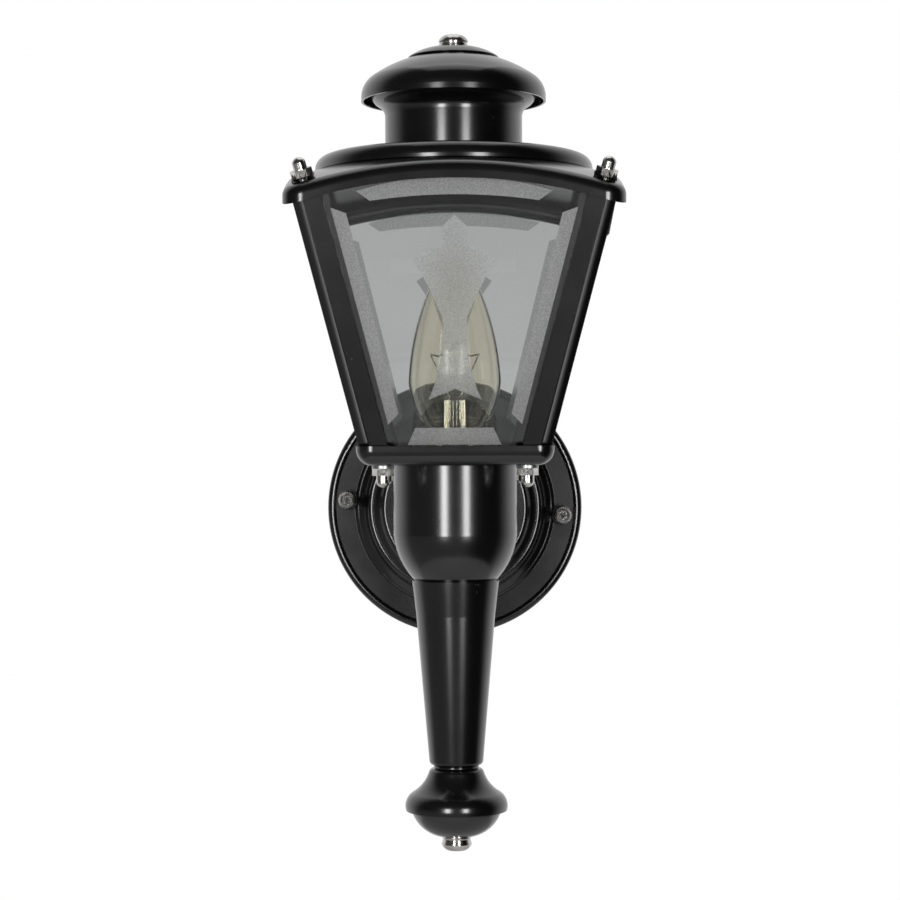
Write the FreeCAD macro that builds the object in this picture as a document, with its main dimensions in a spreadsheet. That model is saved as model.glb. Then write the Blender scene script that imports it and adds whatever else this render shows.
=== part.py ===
import FreeCAD, Part

import math
import os
import types

import Sketcher

# A coach-style torch wall lantern: a square tapered glass lantern with a domed
# roof, chimney and cap, on a cup, a tapered stem and a turned tail, held off a
# round stepped wall plate by a short arm.
#
# Frame: the origin is the centre of the wall plate's back face. X points right
# seen from the front, Y points into the wall and Z points up. The lantern's
# upright axis stands at Y = -reach.

Vector = FreeCAD.Vector
Rotation = FreeCAD.Rotation
Placement = FreeCAD.Placement

# Driving dimensions in millimetres.
SIZES = {
    # gaps
    "seat_gap": 0.05,
    "slide_gap": 0.3,
    "thread_gap": 0.05,
    "hole_gap": 0.4,
    # layout
    "reach": 90.0,
    "tray_level": 20.6,
    "lantern_height": 135.2,
    # wall plate
    "canopy_radius": 60.3,
    "canopy_gauge": 1.2,
    "rim_height": 4.6,
    "rim_width": 4.1,
    "rim_roll_width": 2.7,
    "rim_roll_drop": 2.4,
    "rim_roll_rise": 0.75,
    "band_width": 8.8,
    "band_height": 4.0,
    "shoulder_width": 1.9,
    "shoulder_height": 2.4,
    "shoulder_rise": 0.65,
    "cove_width": 4.5,
    "cove_height": 6.0,
    "cove_rise": 1.1,
    "ridge_width": 2.6,
    "ridge_height": 1.2,
    "ridge_rise": 0.5,
    "inner_cove_width": 4.0,
    "inner_cove_height": 3.2,
    "inner_cove_rise": 0.6,
    "crown_edge_width": 2.2,
    "crown_edge_height": 1.0,
    "crown_edge_rise": 0.35,
    # strap and its screws
    "stud_spacing": 101.6,
    "stud_radius": 2.08,
    "stud_reach": 11.0,
    "strap_margin": 4.6,
    "strap_width": 16.0,
    "strap_gauge": 1.6,
    "box_screw_spacing": 88.9,
    "box_screw_radius": 2.4,
    "ground_screw_offset": 18.0,
    "ground_screw_radius": 1.75,
    "ground_head_radius": 3.6,
    "ground_head_height": 2.0,
    # thumb nuts
    "thumb_radius": 4.5,
    "thumb_height": 9.4,
    "thumb_neck_radius": 3.0,
    "thumb_neck_height": 1.8,
    "thumb_belt_height": 5.0,
    "thumb_cheek_rise": 0.35,
    "thumb_face_radius": 2.25,
    "thumb_face_rise": 0.75,
    "thumb_bore_depth": 7.6,
    # arm and nipple
    "arm_radius": 9.5,
    "arm_wall": 2.2,
    "collar_radius": 15.5,
    "collar_height": 6.5,
    "collar_side": 1.95,
    "collar_face": 1.3,
    "collar_rise": 0.8,
    "nipple_radius": 4.9,
    "nipple_bore": 3.3,
    "nipple_tail": 5.2,
    "nipple_end": 0.4,
    "locknut_width": 13.0,
    "locknut_height": 2.5,
    "locknut_stand_off": 1.1,
    # cup
    "cup_radius": 27.0,
    "cup_gauge": 1.2,
    "cup_side": 30.1,
    "cup_curve_height": 19.5,
    "cup_foot_radius": 18.4,
    "cup_curve_rise": 1.75,
    # tray
    "tray_width": 83.6,
    "tray_depth": 8.3,
    "tray_gauge": 0.8,
    "tray_corner_radius": 7.3,
    "tray_edge_radius": 7.0,
    "socket_hole_radius": 17.5,
    # posts and glass
    "post_gap": 0.3,
    "post_foot_lift": 3.0,
    "post_lip_width": 12.4,
    "post_gauge": 0.9,
    "post_bevel": 4.4,
    "post_groove": 0.6,
    "post_groove_depth": 0.45,
    "post_bevel_rise": 0.6,
    "post_inner_lip": 3.0,
    "glass_thickness": 2.4,
    "glass_gap": 0.25,
    "glass_foot_lift": 2.6,
    "glass_tuck": 4.4,
    # rods and nuts at the corners
    "rod_radius": 1.75,
    "rod_inset": 6.9,
    "rod_foot_inset": 8.0,
    "rod_bend_height": 3.5,
    "nut_width": 7.94,
    "nut_height": 3.0,
    "acorn_radius": 2.8,
    "acorn_height": 8.0,
    "acorn_crown": 2.0,
    "acorn_bore_depth": 5.6,
    "washer_radius": 4.75,
    "washer_height": 1.1,
    "washer_tilt_gap": 0.25,
    # roof
    "roof_width": 140.8,
    "roof_overhang": 1.96886,
    "roof_gauge": 0.8,
    "roof_corner_radius": 9.0,
    "roof_edge_radius": 5.0,
    "roof_lip": 6.8,
    "dome_radius": 224.0,
    "vent_radius": 26.0,
    "ring_radius": 60.5,
    "ring_height": 7.1,
    "ring_edge_radius": 5.6,
    # chimney
    "chimney_radius": 29.9,
    "chimney_gauge": 0.8,
    "chimney_side": 18.6,
    "chimney_height": 33.8,
    "flare_height": 10.0,
    "flare_rise": 0.8,
    # cap
    "hood_radius": 40.3,
    "hood_gauge": 1.0,
    "hood_rim": 2.3,
    "hood_side_height": 7.9,
    "hood_side_rise": 0.98,
    "hood_shoulder_radius": 36.3,
    "hood_crown_radius": 15.5,
    "hood_crown_height": 9.3,
    "hood_crown_rise": 1.1,
    "disc_radius": 19.7,
    "disc_height": 4.3,
    "disc_crown_radius": 7.0,
    "disc_rise": 1.0,
    "disc_gauge": 0.9,
    # finial rod and nut
    "finial_rod_radius": 2.4,
    "rod_nut_height": 3.4,
    "bar_length": 62.0,
    "bar_width": 12.0,
    "bar_gauge": 1.5,
    "finial_nut_radius": 6.5,
    "finial_nut_height": 5.0,
    "finial_bore_depth": 3.8,
    "nut_collar_height": 1.1,
    "nut_collar_step": 0.2,
    "nut_waist_height": 1.7,
    "nut_waist_step": 0.65,
    "nut_dome_height": 2.7,
    "nut_dome_width": 2.6,
    "nut_dome_rise": 0.45,
    # glass clip on the right side
    "clip_width": 9.0,
    "clip_gauge": 0.9,
    "clip_offset": 20.0,
    "clip_stand_off": 2.6,
    "clip_length": 17.5,
    "clip_top": 1.6,
    "clip_bend_drop": 1.2,
    # stem and tail
    "stem_length": 81.0,
    "stem_top_radius": 19.05,
    "stem_rim": 3.4,
    "stem_rim_chamfer": 0.6,
    "stem_neck_radius": 17.2,
    "stem_neck_drop": 15.6,
    "stem_foot_radius": 11.8,
    "stem_wall": 1.4,
    "bead_radius": 9.8,
    "bead_height": 1.4,
    "bead_rise": 0.3,
    "bell_height": 18.2,
    "bell_edge": 1.6,
    "bell_edge_rise": 0.25,
    "bell_edge_width": 1.45,
    "bell_neck_radius": 12.0,
    "bell_waist_radius": 18.75,
    "bell_waist_drop": 10.3,
    "bell_waist_rise": 0.95,
    "bell_radius": 22.3,
    "bell_side_drop": 15.5,
    "bell_belly_rise": 0.75,
    "bell_side_rise": 0.12,
    "bell_draft": 0.2,
    "bell_gauge": 1.2,
    "bowl_radius": 19.6,
    "bowl_height": 10.8,
    "bowl_rise": 2.0,
    "bowl_foot_radius": 9.0,
    "bowl_gauge": 1.0,
    "tail_rod_radius": 2.4,
    "tail_nut_radius": 6.6,
    "tail_nut_height": 6.6,
    "tail_bore_depth": 4.9,
    "tail_locknut_height": 3.1,
    # lamp holder
    "socket_radius": 16.0,
    "socket_height": 32.5,
    "socket_drop": 31.1,
    "socket_edge": 1.2,
    "lead_hole_radius": 1.05,
    "lead_hole_spread": 1.3,
    "lead_hole_level": 4.5,
    "shell_gauge": 0.4,
    "shell_height": 21.0,
    "shell_lip": 2.2,
    "pocket_radius": 8.5,
    "pocket_depth": 5.5,
    "contact_radius": 5.5,
    "contact_tip_radius": 2.5,
    "contact_height": 1.85,
    "bracket_length": 30.0,
    "bracket_width": 10.0,
    "bracket_gauge": 1.5,
    "hub_radius": 6.0,
    "hub_height": 9.0,
    "bracket_screw_inset": 3.6,
    "bracket_screw_bite": 5.0,
    # lamp
    "base_radius": 13.1,
    "base_gauge": 0.4,
    "base_height": 24.5,
    "base_rim": 0.5,
    "base_skirt": 3.5,
    "base_toe_inset": 1.5,
    "base_toe_height": 1.2,
    "base_end_radius": 6.5,
    "base_end_height": 2.6,
    "insulator_radius": 6.3,
    "insulator_face_radius": 4.4,
    "insulator_height": 2.4,
    "insulator_cone": 1.45,
    "button_radius": 3.8,
    "button_face_radius": 2.6,
    "button_height": 0.95,
    "button_rise": 0.25,
    "thread_pitch": 3.63,
    "thread_depth": 0.6,
    "thread_rise": 0.35,
    "lamp_radius": 20.2,
    "lamp_gauge": 0.7,
    "lamp_length": 114.4,
    "lamp_tip_radius": 2.2,
    "lamp_tip_height": 1.1,
    "lamp_tip_rise": 1.0,
    "lamp_shoulder_radius": 12.2,
    "lamp_shoulder_drop": 16.6,
    "lamp_shoulder_rise": 1.6,
    "lamp_belly_drop": 55.0,
    "lamp_belly_rise": 1.5,
    "lamp_neck_drop": 75.5,
    "lamp_foot_drop": 84.0,
    "lamp_tuck": 2.5,
    "mount_flare": 1.6,
    "mount_height": 12.0,
    "mount_radius": 5.0,
    "press_radius": 4.6,
    "press_tip_radius": 3.2,
    "press_drop": 18.0,
    "press_length": 2.0,
    "filament_height": 71.4,
    "filament_span": 21.0,
    "filament_kink": 1.7,
    "filament_wire": 0.35,
}

THREAD_RIDGES = 4
HEX = 6
QUARTER_ARC = 1 - math.sqrt(0.5)
DIAGONAL = math.sqrt(2)
STRAP_ROLL = 4.2
NEAR = 0.001

doc = FreeCAD.newDocument("TorchSconce")
sheet = doc.addObject("Spreadsheet::Sheet", "Sizes")
for row, (alias, amount) in enumerate(SIZES.items(), start=1):
    sheet.set("A%d" % row, alias)
    sheet.set("B%d" % row, str(amount))
    sheet.setAlias("B%d" % row, alias)
doc.recompute()


# ---------------------------------------------------------------- lengths

def number(item):
    return item.value if isinstance(item, Size) else float(item)


def words(item):
    return item.text if isinstance(item, Size) else "(%.6f)" % item


class Size:
    """A length kept with the sheet expression that gives it."""

    def __init__(self, value, text):
        self.value = value
        self.text = text

    def __add__(self, other):
        return Size(self.value + number(other), "(%s + %s)" % (self.text, words(other)))

    def __radd__(self, other):
        return Size(other + self.value, "(%s + %s)" % (words(other), self.text))

    def __sub__(self, other):
        return Size(self.value - number(other), "(%s - %s)" % (self.text, words(other)))

    def __rsub__(self, other):
        return Size(other - self.value, "(%s - %s)" % (words(other), self.text))

    def __mul__(self, other):
        return Size(self.value * number(other), "(%s * %s)" % (self.text, words(other)))

    def __rmul__(self, other):
        return Size(other * self.value, "(%s * %s)" % (words(other), self.text))

    def __truediv__(self, other):
        return Size(self.value / number(other), "(%s / %s)" % (self.text, words(other)))

    def __neg__(self):
        return Size(-self.value, "(0 - %s)" % self.text)


def root(item):
    return Size(math.sqrt(item.value), "sqrt(%s)" % item.text)


dim = types.SimpleNamespace(**{
    alias: Size(amount, "Sizes." + alias) for alias, amount in SIZES.items()
})


# ---------------------------------------------------------------- building helpers

nodes = {}


def node(label, item):
    """Name a finished sub-part; its label is also its file name."""
    item.Label = label
    nodes[label] = item
    return item


def bind(item, prop, amount):
    setattr(item, prop, number(amount))
    if isinstance(amount, Size):
        item.setExpression(prop, amount.text)


def place(item, x=0, y=0, z=0, rotation=Rotation()):
    item.Placement = Placement(Vector(number(x), number(y), number(z)), rotation)
    for axis, amount in (("x", x), ("y", y), ("z", z)):
        if isinstance(amount, Size):
            item.setExpression("Placement.Base." + axis, amount.text)
    return item


OUT_OF_WALL = Rotation(Vector(1, 0, 0), 90)
UPSIDE_DOWN = Rotation(Vector(1, 0, 0), 180)


def on_axis(item, z=0, rotation=Rotation()):
    """Stand a piece on the lantern's upright axis."""
    return place(item, 0, -dim.reach, z, rotation)


def off_wall(item, distance=0, x=0, z=0):
    """Turn a piece's own Z out of the wall."""
    return place(item, x, -distance, z, OUT_OF_WALL)


def primitive(kind, name, **amounts):
    item = doc.addObject("Part::" + kind, name)
    for prop, amount in amounts.items():
        bind(item, prop, amount)
    return item


def cylinder(name, radius, height):
    return primitive("Cylinder", name, Radius=radius, Height=height)


def hexagon(name, width, height):
    prism = primitive("Prism", name, Circumradius=width / math.sqrt(3), Height=height)
    prism.Polygon = round(HEX)
    return prism


def cut(name, base, tool):
    item = doc.addObject("Part::Cut", name)
    item.Base = base
    item.Tool = tool
    return item


def common(name, base, tool):
    item = doc.addObject("Part::Common", name)
    item.Base = base
    item.Tool = tool
    return item


def fused(name, *shapes):
    item = doc.addObject("Part::MultiFuse", name)
    item.Shapes = list(shapes)
    return item


def mirrored(item, normal):
    twin = doc.addObject("Part::Mirroring", item.Name + "_twin")
    twin.Source = item
    twin.Base = Vector(0, -number(dim.reach), 0)
    twin.Normal = normal
    return twin


def at_four_corners(name, item):
    """Repeat a front-right piece at all four corners of the lantern."""
    left = mirrored(item, Vector(1, 0, 0))
    rear = mirrored(item, Vector(0, 1, 0))
    rear_left = mirrored(left, Vector(0, 1, 0))
    return fused(name, item, left, rear, rear_left)


def sketch_on(body, role):
    plane = next(f for f in body.Origin.OriginFeatures if f.Role == role)
    sketch = body.newObject("Sketcher::SketchObject", body.Name + "_sketch")
    sketch.AttachmentSupport = [(plane, "")]
    sketch.MapMode = "FlatFace"
    return sketch


def pin(sketch, kind, geometry, end, amount):
    """Hold one end of an edge at a bound distance from the origin."""
    if not isinstance(amount, Size) and amount == 0:
        axis = -2 if kind == "DistanceX" else -1
        sketch.addConstraint(Sketcher.Constraint("PointOnObject", geometry, end, axis))
        return
    index = sketch.addConstraint(Sketcher.Constraint(kind, -1, 1, geometry, end, number(amount)))
    if isinstance(amount, Size):
        sketch.setExpression("Constraints[%d]" % index, amount.text)


def arc_radius(start, stop, rise):
    across = stop[0] - start[0]
    along = stop[1] - start[1]
    height = rise if number(rise) > 0 else -rise
    return ((across * across + along * along) / 4 + height * height) / (2 * height)


def arc_centre(start, stop, rise):
    begin = Vector(number(start[0]), number(start[1]), 0)
    finish = Vector(number(stop[0]), number(stop[1]), 0)
    chord = finish - begin
    left = Vector(-chord.y, chord.x, 0).normalize()
    bulge = number(rise)
    radius = number(arc_radius(start, stop, rise))
    return (begin + finish) / 2 + left * (bulge - math.copysign(radius, bulge))


def draw_edge(sketch, start, stop, rise):
    """Add one edge and return its index with the ends that lie at start and stop."""
    begin = Vector(number(start[0]), number(start[1]), 0)
    finish = Vector(number(stop[0]), number(stop[1]), 0)
    if number(rise) == 0:
        return sketch.addGeometry(Part.LineSegment(begin, finish), False), 1, 2
    radius = arc_radius(start, stop, rise)
    centre = arc_centre(start, stop, rise)
    circle = Part.Circle(centre, Vector(0, 0, 1), number(radius))
    turns_left = number(rise) < 0
    first, last = (begin, finish) if turns_left else (finish, begin)
    angle_first = math.atan2(first.y - centre.y, first.x - centre.x)
    angle_last = math.atan2(last.y - centre.y, last.x - centre.x)
    if angle_last < angle_first:
        angle_last += 2 * math.pi
    edge = sketch.addGeometry(Part.ArcOfCircle(circle, angle_first, angle_last), False)
    index = sketch.addConstraint(Sketcher.Constraint("Radius", edge, number(radius)))
    sketch.setExpression("Constraints[%d]" % index, words(radius))
    return (edge, 1, 2) if turns_left else (edge, 2, 1)


def draw_outline(sketch, corners):
    """Close a loop. A corner is (x, y) or (x, y, rise): the edge after it is then
    an arc that stands rise off its chord, to the left of the way it is drawn."""
    edges = []
    for index, corner in enumerate(corners):
        rise = corner[2] if len(corner) > 2 else 0
        edges.append(draw_edge(sketch, corner, corners[(index + 1) % len(corners)], rise))
    for index, corner in enumerate(corners):
        edge, start_end, _ = edges[index]
        before, _, stop_end = edges[index - 1]
        sketch.addConstraint(Sketcher.Constraint("Coincident", before, stop_end, edge, start_end))
        pin(sketch, "DistanceX", edge, start_end, corner[0])
        pin(sketch, "DistanceY", edge, start_end, corner[1])


def turned(name, corners):
    """A piece revolved about its own Z from an outline of (radius, height)."""
    body = doc.addObject("PartDesign::Body", name)
    sketch = sketch_on(body, "XZ_Plane")
    draw_outline(sketch, corners)
    doc.recompute()
    revolution = body.newObject("PartDesign::Revolution", name + "_turn")
    revolution.Profile = sketch
    revolution.ReferenceAxis = (sketch, ["V_Axis"])
    revolution.Angle = 360
    body.Tip = revolution
    return body


def padded(name, role, corners, length, midplane=False):
    body = doc.addObject("PartDesign::Body", name)
    sketch = sketch_on(body, role)
    draw_outline(sketch, corners)
    doc.recompute()
    pad = body.newObject("PartDesign::Pad", name + "_pad")
    pad.Profile = sketch
    bind(pad, "Length", length)
    pad.Midplane = midplane
    body.Tip = pad
    return body


def edge_ends(start, stop, rise):
    """Unit directions in which an edge leaves start and reaches stop."""
    chord = Vector(number(stop[0]) - number(start[0]), number(stop[1]) - number(start[1]), 0)
    along = Vector(chord).normalize()
    if number(rise) == 0:
        return along, along
    half = 2 * math.atan(2 * number(rise) / chord.Length)
    leave = Rotation(Vector(0, 0, 1), math.degrees(half)).multVec(along)
    reach = Rotation(Vector(0, 0, 1), -math.degrees(half)).multVec(along)
    return leave, reach


def shell_outline(outer, gauge):
    """The outer path, then the same path one gauge to its right, coming back."""
    spans = []
    for start, stop in zip(outer, outer[1:]):
        spans.append(edge_ends(start, stop, start[2] if len(start) > 2 else 0))
    inner = []
    for index, point in enumerate(outer):
        arriving = spans[index - 1][1] if index > 0 else spans[0][0]
        leaving = spans[index][0] if index < len(spans) else spans[-1][1]
        middle = (arriving + leaving).normalize()
        mitre = 1 / middle.dot(leaving)
        inner.append((point[0] + gauge * (middle.y * mitre), point[1] - gauge * (middle.x * mitre)))
    back = []
    for index in range(len(outer) - 1, 0, -1):
        start, stop = inner[index], inner[index - 1]
        previous = outer[index - 1]
        rise = previous[2] if len(previous) > 2 else 0
        if number(rise) == 0:
            back.append(start)
            continue
        if number(previous[0]) == 0:
            back.append((start[0], start[1], -crown_rise(start[0], stop[1] - start[1])))
            continue
        inside = math.dist([number(a) for a in start], [number(a) for a in stop])
        outside = math.dist([number(a) for a in outer[index][:2]],
                            [number(a) for a in previous[:2]])
        back.append((start[0], start[1], -rise * (inside / outside)))
    back.append(inner[0])
    path = [point[:2] if number(point[2] if len(point) > 2 else 0) == 0 else point
            for point in outer[:-1]]
    return path + [outer[-1][:2]] + back


def crown_rise(radius, height):
    """Rise of the arc from the top of a crown, on the axis, to its edge."""
    ball = (radius * radius + height * height) / (2 * height)
    return ball - root(ball * ball - (radius * radius + height * height) / 4)


def height_on_arc(start, stop, rise, radius):
    """Height of a crown arc at a radius, on its upper side."""
    centre = arc_centre(start, stop, rise)
    size = number(arc_radius(start, stop, rise))
    return centre.y + math.sqrt(size ** 2 - (number(radius) - centre.x) ** 2)


# ---------------------------------------------------------------- shared levels

rim_level = dim.tray_level + dim.tray_depth
floor_level = dim.tray_level + dim.tray_gauge
roof_apex = dim.tray_level + dim.lantern_height
tray_half = dim.tray_width / 2
roof_half = dim.roof_width / 2
foot_half = tray_half - dim.tray_gauge - dim.post_gap


def dome_drop(radius):
    """How far the roof's top has fallen at a radius."""
    return dim.dome_radius - root(dim.dome_radius * dim.dome_radius - radius * radius)


lip_foot = roof_apex - dome_drop(roof_half) - dim.roof_lip
flare = (roof_half - dim.roof_overhang - foot_half) / (lip_foot - rim_level)
slant = root(1 + flare * flare)
glass_depth = dim.glass_thickness * slant
slot_depth = glass_depth + 2 * dim.glass_gap


def half_width_at(level):
    """Half width over the posts' outer faces, which lean out to the roof's overhang at its lip."""
    return foot_half + flare * (level - rim_level)


corner_reach = (roof_half - dim.roof_corner_radius) * DIAGONAL
rod_head = half_width_at(roof_apex - dome_drop(corner_reach)) - dim.rod_inset
head_level = roof_apex - dome_drop(rod_head * DIAGONAL)
rod_foot = half_width_at(dim.tray_level) - dim.rod_foot_inset
bend_level = floor_level + dim.rod_bend_height
rod_slope = (rod_head - rod_foot) / (head_level - bend_level)
rod_way = Rotation(Vector(0, 0, 1), Vector(number(rod_slope), -number(rod_slope), 1))


# ---------------------------------------------------------------- wall plate

def canopy_outline():
    rim = dim.canopy_radius
    band_out = rim - dim.rim_width
    band_in = band_out - dim.band_width
    shoulder = band_in - dim.shoulder_width
    cove = shoulder - dim.cove_width
    ridge = cove - dim.ridge_width
    inner_cove = ridge - dim.inner_cove_width
    crown = inner_cove - dim.crown_edge_width
    band_top = dim.band_height
    shoulder_top = band_top + dim.shoulder_height
    cove_top = shoulder_top + dim.cove_height
    ridge_top = cove_top + dim.ridge_height
    inner_top = ridge_top + dim.inner_cove_height
    crown_top = inner_top + dim.crown_edge_height
    outer = [
        (dim.nipple_radius + dim.seat_gap, crown_top),
        (crown, crown_top, dim.crown_edge_rise),
        (inner_cove, inner_top, -dim.inner_cove_rise),
        (ridge, ridge_top, dim.ridge_rise),
        (cove, cove_top, -dim.cove_rise),
        (shoulder, shoulder_top, dim.shoulder_rise),
        (band_in, band_top),
        (band_out, band_top),
        (rim - dim.rim_roll_width, dim.rim_height, dim.rim_roll_rise),
        (rim, dim.rim_height - dim.rim_roll_drop),
        (rim, 0),
    ]
    return shell_outline(outer, dim.canopy_gauge), crown_top


canopy_corners, canopy_top = canopy_outline()
strap_way = Rotation(Vector(0, 1, 0), STRAP_ROLL)


def on_strap(item, along, distance):
    """Stand a piece out of the wall at a distance along the tilted strap."""
    spot = strap_way.multVec(Vector(number(along), 0, 0))
    item.Placement = Placement(Vector(spot.x, -number(distance), spot.z), OUT_OF_WALL)
    return item


def strap_pair(name, radius, height, spacing, distance):
    half = spacing / 2
    left = on_strap(cylinder(name + "_left", radius, height), -half, distance)
    right = on_strap(cylinder(name + "_right", radius, height), half, distance)
    return fused(name, left, right)


def make_canopy():
    plate = off_wall(turned("canopy_shell", canopy_corners))
    holes = strap_pair("canopy_holes", dim.stud_radius + dim.hole_gap, dim.rim_height,
                       dim.stud_spacing, 0)
    node("canopy", cut("canopy_drilled", plate, holes))


def make_strap():
    length = dim.stud_spacing + 2 * dim.strap_margin
    bar = primitive("Box", "strap_bar", Length=length, Width=dim.strap_gauge,
                    Height=dim.strap_width)
    corner = Vector(-number(length) / 2, -number(dim.strap_gauge), -number(dim.strap_width) / 2)
    bar.Placement = Placement(strap_way.multVec(corner), strap_way)
    depth = dim.strap_gauge * 3
    back = -dim.strap_gauge
    studs = strap_pair("strap_stud_holes", dim.stud_radius + dim.seat_gap, depth,
                       dim.stud_spacing, back)
    screws = strap_pair("strap_box_holes", dim.box_screw_radius, depth,
                        dim.box_screw_spacing, back)
    centre = off_wall(cylinder("strap_centre_hole", dim.nipple_radius + dim.thread_gap, depth), back)
    ground = on_strap(cylinder("strap_ground_hole", dim.ground_screw_radius + dim.seat_gap, depth),
                      -dim.ground_screw_offset, back)
    node("mounting_strap", cut("strap_drilled", bar,
                               fused("strap_holes", studs, screws, centre, ground)))


def make_strap_screws():
    node("strap_studs", strap_pair("stud_pair", dim.stud_radius, dim.stud_reach,
                                   dim.stud_spacing, 0))
    shank = on_strap(cylinder("ground_shank", dim.ground_screw_radius, dim.strap_gauge * 2),
                     -dim.ground_screw_offset, 0)
    head = on_strap(cylinder("ground_head", dim.ground_head_radius, dim.ground_head_height),
                    -dim.ground_screw_offset, dim.strap_gauge + dim.seat_gap)
    node("ground_screw", fused("ground_screw_solid", shank, head))


def thumb_outline():
    neck = dim.thumb_neck_radius
    bore = dim.stud_radius + dim.thread_gap
    return [
        (0, dim.thumb_bore_depth),
        (0, dim.thumb_height),
        (dim.thumb_face_radius, dim.thumb_height, dim.thumb_face_rise),
        (dim.thumb_radius, dim.thumb_belt_height, dim.thumb_cheek_rise),
        (neck, dim.thumb_neck_height),
        (neck, 0),
        (bore, 0),
        (bore, dim.thumb_bore_depth),
    ]


def make_thumb_nuts():
    for label, side in (("thumb_nut_left", -1), ("thumb_nut_right", 1)):
        nut = turned(label + "_solid", thumb_outline())
        on_strap(nut, dim.stud_spacing / 2 * side, dim.band_height + dim.slide_gap)
        node(label, nut)


# ---------------------------------------------------------------- arm

def make_arm():
    arm_start = canopy_top + dim.seat_gap
    arm_end = dim.reach - dim.cup_radius / 2
    tube = off_wall(cylinder("arm_tube", dim.arm_radius, arm_end - arm_start), arm_start)
    bore = off_wall(cylinder("arm_bore", dim.arm_radius - dim.arm_wall, arm_end - arm_start),
                    arm_start)
    around_cup = on_axis(cylinder("arm_saddle", dim.cup_radius + dim.seat_gap, dim.reach),
                         -dim.reach / 2)
    node("arm", cut("arm_solid", tube, fused("arm_hollow", bore, around_cup)))
    inside = dim.arm_radius + dim.seat_gap
    collar = turned("arm_collar_solid", [
        (inside, 0),
        (dim.collar_radius, 0),
        (dim.collar_radius, dim.collar_side, -dim.collar_rise),
        (inside + dim.collar_face, dim.collar_height),
        (inside, dim.collar_height),
    ])
    node("arm_collar", off_wall(collar, arm_start))


def make_nipple():
    inner_face = canopy_top - dim.canopy_gauge
    start = inner_face - dim.nipple_tail
    cup_wall = dim.reach - dim.cup_radius + dim.cup_gauge
    end = cup_wall + dim.locknut_stand_off + dim.locknut_height + dim.nipple_end
    pipe = off_wall(cylinder("nipple_pipe", dim.nipple_radius, end - start), start)
    bore = off_wall(cylinder("nipple_hole", dim.nipple_bore, end - start), start)
    node("arm_nipple", cut("nipple_solid", pipe, bore))
    spots = {
        "plate": inner_face - dim.seat_gap - dim.locknut_height,
        "cup": cup_wall + dim.locknut_stand_off,
    }
    nuts = []
    for spot, distance in spots.items():
        blank = off_wall(hexagon("locknut_" + spot, dim.locknut_width, dim.locknut_height), distance)
        hole = off_wall(cylinder("locknut_hole_" + spot, dim.nipple_radius + dim.thread_gap,
                                 dim.locknut_height), distance)
        nuts.append(cut("locknut_drilled_" + spot, blank, hole))
    node("arm_locknuts", fused("locknut_pair", *nuts))


# ---------------------------------------------------------------- cup and tray

cup_top = dim.tray_level - dim.seat_gap
cup_side_foot = cup_top - dim.cup_side
cup_bottom = cup_side_foot - dim.cup_curve_height


def make_cup():
    bore = dim.tail_rod_radius + dim.thread_gap
    wall = dim.cup_gauge
    height = dim.cup_side + dim.cup_curve_height
    shoulder = dim.cup_curve_height
    inner_foot = dim.cup_foot_radius - wall
    cup = turned("cup_shell", [
        (bore, 0),
        (dim.cup_foot_radius, 0, -dim.cup_curve_rise),
        (dim.cup_radius, shoulder),
        (dim.cup_radius, height),
        (dim.cup_radius - wall, height),
        (dim.cup_radius - wall, shoulder, dim.cup_curve_rise),
        (inner_foot, wall),
        (bore, wall),
    ])
    on_axis(cup, cup_bottom)
    hole = off_wall(cylinder("cup_hole", dim.nipple_radius + dim.seat_gap, dim.cup_radius / 2),
                    dim.reach - dim.cup_radius - dim.cup_gauge)
    node("cup", cut("cup_drilled", cup, hole))


def rounded_square(half, corner):
    """Corners of a square with rounded corners, drawn anticlockwise."""
    straight = half - corner
    rise = -corner * QUARTER_ARC
    return [
        (-straight, -half), (straight, -half, rise),
        (half, -straight), (half, straight, rise),
        (straight, half), (-straight, half, rise),
        (-half, straight), (-half, -straight, rise),
    ]


def edges_where(shape, test):
    return ["Edge%d" % index for index, edge in enumerate(shape.Edges, start=1) if test(edge)]


def pan(name, half, corner, depth, edge_radius):
    """A square block with a rounded bottom edge; its underside is at zero."""
    body = padded(name, "XY_Plane", rounded_square(half, corner), depth)
    doc.recompute()
    block = body.Tip
    low = edges_where(block.Shape, lambda edge: edge.BoundBox.ZMax < NEAR)
    fillet = body.newObject("PartDesign::Fillet", name + "_edge")
    fillet.Base = (block, low)
    bind(fillet, "Radius", edge_radius)
    body.Tip = fillet
    return body


def make_tray():
    wall = dim.tray_gauge
    outside = pan("tray_outside", tray_half, dim.tray_corner_radius, dim.tray_depth,
                  dim.tray_edge_radius)
    inside = pan("tray_inside", tray_half - wall, dim.tray_corner_radius - wall, dim.tray_depth,
                 dim.tray_edge_radius - wall)
    on_axis(outside, dim.tray_level)
    on_axis(inside, floor_level)
    hollow = cut("tray_hollow", outside, inside)
    rod_hole = place(cylinder("tray_rod_hole", dim.rod_radius + dim.hole_gap, dim.tray_depth),
                     rod_foot, -dim.reach - rod_foot, dim.tray_level - wall)
    centre = on_axis(cylinder("tray_socket_hole", dim.socket_hole_radius, dim.tray_depth),
                     dim.tray_level - wall)
    holes = fused("tray_holes", centre, at_four_corners("tray_rod_holes", rod_hole))
    node("tray", cut("tray_drilled", hollow, holes))


# ---------------------------------------------------------------- roof blocks

roof_foot = roof_apex - dome_drop(roof_half * DIAGONAL) - dim.roof_lip


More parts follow.
